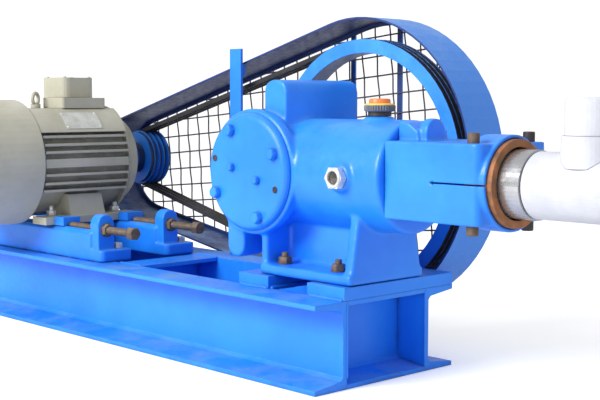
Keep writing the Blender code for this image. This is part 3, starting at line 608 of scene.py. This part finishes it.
def hex_ring(half_flats, height):
    ring = []
    for i in range(RING_STEPS):
        angle = tau * i / RING_STEPS
        reach = half_flats / cos((angle + pi / 6) % (pi / 3) - pi / 6)
        ring.append((reach * cos(angle), reach * sin(angle), height))
    return ring


def stacked(name, place, direction, rings, finish_name, body=FRAME, node=None, spin=0.0):
    """Joins rings of equal count into one closed piece that points in a direction."""
    turn = Vector(direction).to_track_quat("Z", "Y").to_matrix().to_4x4()
    matrix = Matrix.Translation(place) @ turn @ Matrix.Rotation(spin, 4, "Z")
    data = bmesh.new()
    loops = [[data.verts.new(matrix @ Vector(point)) for point in ring] for ring in rings]
    count = len(loops[0])
    for one, two in zip(loops, loops[1:]):
        for i in range(count):
            j = (i + 1) % count
            data.faces.new((one[i], one[j], two[j], two[i]))
    data.faces.new(list(reversed(loops[0])))
    data.faces.new(loops[-1])
    mesh = bpy.data.meshes.new(name)
    data.to_mesh(mesh)
    data.free()
    mesh.shade_smooth()
    mesh.set_sharp_from_angle(angle=radians(30))
    return new_piece(name, mesh, finish_name, body, node)


def hex_bolt(name, place, direction, flats, height, finish_name, washer=0.0018, stud=0.0,
             spin=0.3, body=FRAME):
    """A hexagon head or nut on a washer, with the end of its stud where it has one."""
    half = flats / 2
    rings = [round_ring(flats * 0.60, 0), round_ring(flats * 0.60, washer)]
    rings += [hex_ring(half, washer), hex_ring(half, washer + 0.82 * height),
              round_ring(half * 0.94, washer + height)]
    if stud:
        top = washer + height + stud
        rings += [round_ring(half * 0.56, washer + height), round_ring(half * 0.56, top - 0.001),
                  round_ring(half * 0.46, top)]
    return stacked(name, place, direction, rings, finish_name, body, spin=spin)


def cap_screw(name, place, direction, radius, height, finish_name):
    """A round screw head with the recess for its key."""
    rings = [round_ring(radius, 0), round_ring(radius, height - 0.0012),
             round_ring(radius - 0.0012, height), round_ring(radius * 0.55, height),
             round_ring(radius * 0.50, height - 0.006)]
    return stacked(name, place, direction, rings, finish_name)


print("ring and bolt helpers ready")

# %% [markdown]
# ## The crankcase cover
# Four painted bolts hold the round cover over the crank, and two smaller ones close the oil
# holes nearer its middle. Two open screw holes lie on the same circle as the big bolts; each is
# a shallow dark dish, painted shade for the inside of the hole, which is not cut.

# %% Cover bolts
COVER_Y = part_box("crankcase_cover")[0][1]
BOLT_CENTRE_X = CRANK_X - 0.003
BOLT_CENTRE_Z = AXIS_Z - 0.003
BOLT_CIRCLE = 0.086
SMALL_CIRCLE = 0.036


def on_cover(radius, degrees):
    """The point on the cover's face at a radius and an angle from the middle of its bolts."""
    angle = radians(degrees)
    return (BOLT_CENTRE_X + radius * cos(angle), COVER_Y, BOLT_CENTRE_Z + radius * sin(angle))


for i, degrees in enumerate((116, 26, -64, -154)):
    hex_bolt("cover_bolt_" + str(i + 1), on_cover(BOLT_CIRCLE, degrees), (0, -1, 0), 0.019, 0.009,
             "cast_blue", spin=0.4 + i)
for i, degrees in enumerate((163, -17)):
    hex_bolt("cover_small_bolt_" + str(i + 1), on_cover(SMALL_CIRCLE, degrees), (0, -1, 0), 0.013,
             0.007, "cast_blue", spin=0.2 + i)
    # A dark dish stands for the painted shade inside each open screw hole.
    hole_shade = [round_ring(0.0062, 0), round_ring(0.0062, 0.0008), round_ring(0.0046, 0.0010),
            round_ring(0.0040, 0.0003)]
    stacked("cover_hole_shade_" + str(i + 1), on_cover(BOLT_CIRCLE, degrees), (0, -1, 0), hole_shade,
            "dark_steel")

# %% [markdown]
# ## Bolts that hold the pump, the clamp and the motor
# The pump's foot is bolted down inside the recesses of its pedestal. The split clamp is drawn
# shut by round screws through its cheeks, and the motor's feet stand on studs that slide in the
# slotted rails.

# %% Holding-down and clamp bolts
FOOT_TOP = 0.1909
CLAMP_FACE = 0.0632
for side, label in ((-1, "near"), (1, "far")):
    for i, x in enumerate((0.4260, 0.5611)):
        hex_bolt(label + "_foot_bolt_" + str(i + 1), (x, side * 0.062, FOOT_TOP), (0, 0, 1), 0.022, 0.011,
                 "rusty_steel", stud=0.008, spin=0.5 * i)
for label, place, turned, finish_name in (
        ("near_clamp_screw_top", (0.852, -0.0625, AXIS_Z + CLAMP_FACE), 1, "rusty_steel"),
        ("near_clamp_screw_low", (0.852, -0.0625, AXIS_Z - CLAMP_FACE), -1, "rusty_steel"),
        ("far_clamp_screw_top", (0.864, 0.064, AXIS_Z + CLAMP_FACE), 1, "dark_steel"),
        ("far_clamp_screw_low", (0.864, 0.064, AXIS_Z - CLAMP_FACE), -1, "dark_steel")):
    cap_screw(label, place, (0, 0, turned), 0.0097, 0.0165, finish_name)

rail_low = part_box("near_slide_rail")[0][2]
for label, y, foot_y in (("near", -0.110, -0.0745), ("far", 0.057, 0.0925)):
    for end, x in (("right", -0.0880), ("left", -0.5940)):
        hex_bolt(label + "_rail_bolt_" + end, (x + 0.006, foot_y, rail_low + 0.0235), (0, 0, 1),
                 0.019, 0.010, "zinc", spin=0.7)
    for end, x in (("right", -0.282), ("left", -0.458)):
        hex_bolt(label + "_motor_stud_" + end, (x, y, 0.2315), (0, 0, 1), 0.018, 0.009, "zinc",
                 stud=0.010, spin=0.5)
print("holding-down, clamp and motor bolts placed")

# %% [markdown]
# ## The tension bolts
# A long bolt in each rail pushes the motor away from the pump and so tightens the belts. Its
# thread shows along its whole length. Rings that swing between the thread's root and crest
# give it, because a true helix could not be told apart at this size.

# %% Threaded tension bolts
THREAD_PITCH = 0.0025
THREAD_ROOT = 0.0070
THREAD_CREST = 0.0080
HEAD_X = 0.016
for label, y in (("near", -0.110), ("far", 0.057)):
    low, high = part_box(label + "_tension_bolt")
    rings = [round_ring(0.0066, 0.0)]
    turns = int((HEAD_X - low[0]) / THREAD_PITCH)
    for i in range(turns):
        rings += [round_ring(THREAD_ROOT, i * THREAD_PITCH + 0.0003),
                  round_ring(THREAD_CREST, (i + 0.5) * THREAD_PITCH)]
    root = HEAD_X - low[0]
    rings += [round_ring(0.0125, root), hex_ring(0.0120, root), hex_ring(0.0120, root + 0.016),
              round_ring(0.0112, high[0] - low[0])]
    stacked(label + "_threaded_bolt", (low[0], y, (low[2] + high[2]) / 2), (1, 0, 0), rings, "rusty_steel",
            node=label + "_tension_bolt", spin=0.4)
    hex_bolt(label + "_lock_nut", (-0.0700, y, (low[2] + high[2]) / 2), (1, 0, 0), 0.024, 0.010,
             "rusty_steel", washer=0.001, spin=0.1)
print("two threaded bolts with", turns, "turns each")

# %% [markdown]
# ## Sight glass and filler cap
# The oil level shows in a bright hexagon fitting with a dark lens. The filler cap has a dark
# neck, a ribbed grey skirt to grip, a yellow ring and an orange top.

# %% Sight glass and filler cap
glass_low, glass_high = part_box("sight_glass")
glass_place = ((glass_low[0] + glass_high[0]) / 2, glass_high[1] - 0.0090, AXIS_Z)
lens = [round_ring(0.0112, 0), round_ring(0.0112, 0.0006), round_ring(0.0080, 0.0016),
        round_ring(0.0030, 0.0021)]
stacked("sight_lens", glass_place, (0, -1, 0), lens, "dark_glass")
rim = [round_ring(0.0168, 0), round_ring(0.0168, 0.0012), round_ring(0.0155, 0.0020),
       round_ring(0.0122, 0.0020)]
rim_place = (glass_place[0], glass_low[1] + 0.0004, AXIS_Z)
data = bmesh.new()
turn = Matrix.Translation(rim_place) @ Vector((0, -1, 0)).to_track_quat("Z", "Y").to_matrix().to_4x4()
loops = [[data.verts.new(turn @ Vector(point)) for point in ring] for ring in rim + [round_ring(0.0122, 0)]]
for one, two in zip(loops, loops[1:] + loops[:1]):
    for i in range(RING_STEPS):
        j = (i + 1) % RING_STEPS
        data.faces.new((one[i], one[j], two[j], two[i]))
bmesh.ops.recalc_face_normals(data, faces=data.faces)
rim_mesh = bpy.data.meshes.new("sight_rim")
data.to_mesh(rim_mesh)
data.free()
rim_mesh.shade_smooth()
new_piece("sight_rim", rim_mesh, "zinc")

cap_low, cap_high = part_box("oil_filler_cap")
cap_place = ((cap_low[0] + cap_high[0]) / 2, 0.0, cap_low[2])
CAP_RIBS = 36


def ribbed_ring(radius, height):
    ring = []
    for i in range(4 * CAP_RIBS):
        reach = radius - (0.0014 if i % 4 < 2 else 0.0)
        angle = tau * i / (4 * CAP_RIBS)
        ring.append((reach * cos(angle), reach * sin(angle), height))
    return ring


def even_ring(radius, height):
    return [(radius * cos(tau * i / (4 * CAP_RIBS)), radius * sin(tau * i / (4 * CAP_RIBS)), height)
            for i in range(4 * CAP_RIBS)]


neck = [round_ring(0.0203, 0.0), round_ring(0.0203, 0.0085)]
stacked("cap_neck", cap_place, (0, 0, 1), neck, "dark_steel")
skirt = [even_ring(0.0200, 0.0076), even_ring(0.0255, 0.0086), ribbed_ring(0.0272, 0.0100),
         ribbed_ring(0.0275, 0.0180), even_ring(0.0262, 0.0192), even_ring(0.0200, 0.0195)]
stacked("cap_skirt", cap_place, (0, 0, 1), skirt, "grey_plastic", node="oil_filler_cap")
band = [round_ring(0.0262, 0.0190), round_ring(0.0262, 0.0202), round_ring(0.0240, 0.0220),
        round_ring(0.0180, 0.0225)]
stacked("cap_band", cap_place, (0, 0, 1), band, "yellow_plastic")
top = [round_ring(0.0188, 0.0210), round_ring(0.0187, 0.0275), round_ring(0.0176, 0.0295),
       round_ring(0.0150, 0.0304), round_ring(0.0100, 0.0306)]
stacked("cap_top", cap_place, (0, 0, 1), top, "orange_plastic")
print("sight glass and filler cap finished")

# %% [markdown]
# ## Woven mesh in the guard
# The back of the guard is closed by woven wire. Each wire waves over one neighbour and under
# the next, so a wire is a thin tube swept along a gentle sine. The sheet was cut a little
# crooked, so its wires lean by five degrees. A point lies inside the guard if one of the
# circles between the guard's large end and its small end holds it.

# %% Tubes and the woven mesh
def tube_mesh(name, lines, sides=6):
    """One mesh of round tubes: each line is a list of (point, radius)."""
    data = bmesh.new()
    for line in lines:
        loops = []
        for i, (point, radius) in enumerate(line):
            ahead = Vector(line[min(i + 1, len(line) - 1)][0])
            behind = Vector(line[max(i - 1, 0)][0])
            along = (ahead - behind).normalized()
            side = along.orthogonal() if abs(along.y) > 0.9 else along.cross(Vector((0, 1, 0))).normalized()
            other = along.cross(side)
            ring = []
            for j in range(sides):
                angle = tau * j / sides
                offset = radius * (cos(angle) * side + sin(angle) * other)
                ring.append(data.verts.new(Vector(point) + offset))
            loops.append(ring)
        for one, two in zip(loops, loops[1:]):
            for j in range(sides):
                k = (j + 1) % sides
                data.faces.new((one[j], one[k], two[k], two[j]))
        data.faces.new(list(reversed(loops[0])))
        data.faces.new(loops[-1])
    bmesh.ops.recalc_face_normals(data, faces=data.faces)
    mesh = bpy.data.meshes.new(name)
    data.to_mesh(mesh)
    data.free()
    mesh.shade_smooth()
    return mesh


GUARD_WHEEL = (0.3725, 0.3635, 0.2785)
GUARD_MOTOR = (-0.390, 0.328, 0.113)
WIRE_PITCH = 0.0395
WIRE_RADIUS = 0.0017
WIRE_WAVE = 0.0012
WIRE_LEAN = radians(5)
CIRCLES = [tuple(a + (b - a) * i / 80 for a, b in zip(GUARD_WHEEL, GUARD_MOTOR)) for i in range(81)]


def in_guard(x, z):
    return any((x - cx) ** 2 + (z - cz) ** 2 < radius * radius for cx, cz, radius in CIRCLES)


mesh_low, mesh_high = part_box("guard_mesh")
mesh_y = (mesh_low[1] + mesh_high[1]) / 2
across_x, across_z = cos(WIRE_LEAN), sin(WIRE_LEAN)
wires = []
for family, count in ((0, 15), (1, 8)):
    for i in range(-count, count + 1):
        line = []
        for k in range(-96, 97):
            along = k * WIRE_PITCH / 6
            first, second = (i * WIRE_PITCH, along) if family == 0 else (along, i * WIRE_PITCH)
            x = 0.074 + first * across_x - second * across_z
            z = 0.353 + first * across_z + second * across_x
            if in_guard(x, z):
                wave = WIRE_WAVE * cos(pi * (k / 6 + i + family))
                line.append(((x, mesh_y + wave, z), WIRE_RADIUS))
        if len(line) > 2:
            wires.append(line)
new_piece("woven_wires", tube_mesh("woven_wires", wires), "dull_wire", node="guard_mesh")
print(len(wires), "wires woven")

# %% [markdown]
# ## Weld beads
# The base is welded together, and the beads show where the cross channels and the pads meet
# the long channels. A bead is a tube half sunk in the corner, whose radius ripples every few
# millimetres, with a little noise so that no two ripples match.

# %% Weld beads on the base
RIPPLE = 0.0042
STEP = 0.0014
CORNER_Y = 0.0998


def bead_line(start, end, radius):
    first, last = Vector(start), Vector(end)
    length = (last - first).length
    steps = int(length / STEP)
    line = []
    for i in range(steps + 1):
        point = first.lerp(last, i / steps)
        swell = abs(sin(pi * i * STEP / RIPPLE)) + 0.6 * noise.noise(point * 90)
        edge = min(1.0, 4 * min(i + 0.5, steps - i + 0.5) / steps * length / 0.03)
        line.append((point, radius * (0.78 + 0.20 * swell) * min(1.0, 0.5 + edge)))
    return line


channel_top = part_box("near_channel")[1][2]
pad_corner = channel_top + 0.0006
beads = []
for side in (-1, 1):
    for low, high in ((-0.617, -0.547), (-0.036, 0.036), (0.547, 0.617)):
        beads.append(bead_line((low, side * CORNER_Y, channel_top), (high, side * CORNER_Y, channel_top),
                               0.0028))
    for x in (0.6197, -0.6197):
        beads.append(bead_line((x, side * CORNER_Y, 0.018), (x, side * CORNER_Y, 0.146), 0.0024))
for x in (0.3497, 0.4303, 0.5297):
    for low, high in ((-0.102, -0.004), (0.03, 0.165)):
        beads.append(bead_line((x, low, pad_corner), (x, high, pad_corner), 0.0034))
for low, high in ((0.354, 0.427), (0.534, 0.616)):
    beads.append(bead_line((low, -0.1072, pad_corner), (high, -0.1072, pad_corner), 0.0034))
new_piece("weld_beads", tube_mesh("weld_beads", beads, 8), "frame_blue")
print(len(beads), "weld beads")

# %% [markdown]
# ## Small parts of the motor
# The motor carries a bare plate on its shoulder, a lid with four screws on its terminal box
# and a grille in its fan cowl. The plate follows the round shoulder, so it is laid out in
# rows of points along the arc and given a thickness.

# %% Motor plate, lid screws and grille
MOTOR_X = -0.370
MOTOR_Z = 0.3473
PLATE_RADIUS = 0.1374
PLATE_Y = (-0.083, 0.010)


def on_shoulder(degrees, y, radius):
    angle = radians(degrees)
    return (MOTOR_X + radius * cos(angle), y, MOTOR_Z + radius * sin(angle))


rows = 9
plate = bmesh.new()
grid = [[plate.verts.new(on_shoulder(33 + 20 * i / (rows - 1), y, PLATE_RADIUS)) for y in PLATE_Y]
        for i in range(rows)]
for one, two in zip(grid, grid[1:]):
    plate.faces.new((one[0], two[0], two[1], one[1]))
plate_mesh = bpy.data.meshes.new("motor_plate")
plate.to_mesh(plate_mesh)
plate.free()
plate_piece = new_piece("motor_plate", plate_mesh, "plate_metal")
thick = plate_piece.modifiers.new("sheet", "SOLIDIFY")
thick.thickness = 0.0012
thick.offset = 0.0
for i, (degrees, y) in enumerate(((35, -0.079), (35, 0.006), (51, -0.079), (51, 0.006))):
    place = on_shoulder(degrees, y, 0.1378)
    direction = (cos(radians(degrees)), 0, sin(radians(degrees)))
    rivet = [round_ring(0.0022, 0), round_ring(0.0020, 0.0008), round_ring(0.0010, 0.0013)]
    stacked("plate_rivet_" + str(i + 1), place, direction, rivet, "zinc")

lid_low, lid_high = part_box("terminal_box")
for i, (x, y) in enumerate(((lid_low[0], lid_low[1]), (lid_low[0], lid_high[1]),
                            (lid_high[0], lid_low[1]), (lid_high[0], lid_high[1]))):
    inward_x = 0.011 if x == lid_low[0] else -0.011
    inward_y = 0.011 if y == lid_low[1] else -0.011
    screw = [round_ring(0.0048, 0), round_ring(0.0048, 0.0020), round_ring(0.0036, 0.0030)]
    stacked("lid_screw_" + str(i + 1), (x + inward_x, y + inward_y, lid_high[2] - 0.0002), (0, 0, 1), screw,
            "zinc")

cowl_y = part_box("motor_fan_cowl")[0][1]
grille = []
for radius in (0.026, 0.042, 0.058, 0.074):
    ring = [(MOTOR_X + radius * cos(tau * i / 48), cowl_y + 0.0012, MOTOR_Z + radius * sin(tau * i / 48))
            for i in range(49)]
    grille.append([(point, 0.0030) for point in ring])
for i in range(8):
    angle = tau * i / 8
    spoke = [(MOTOR_X + r * cos(angle), cowl_y + 0.0012, MOTOR_Z + r * sin(angle))
             for r in (0.018, 0.050, 0.083)]
    grille.append([(point, 0.0026) for point in spoke])
new_piece("cowl_grille", tube_mesh("cowl_grille", grille), "motor_grey")
print("motor plate, lid screws and grille in place")
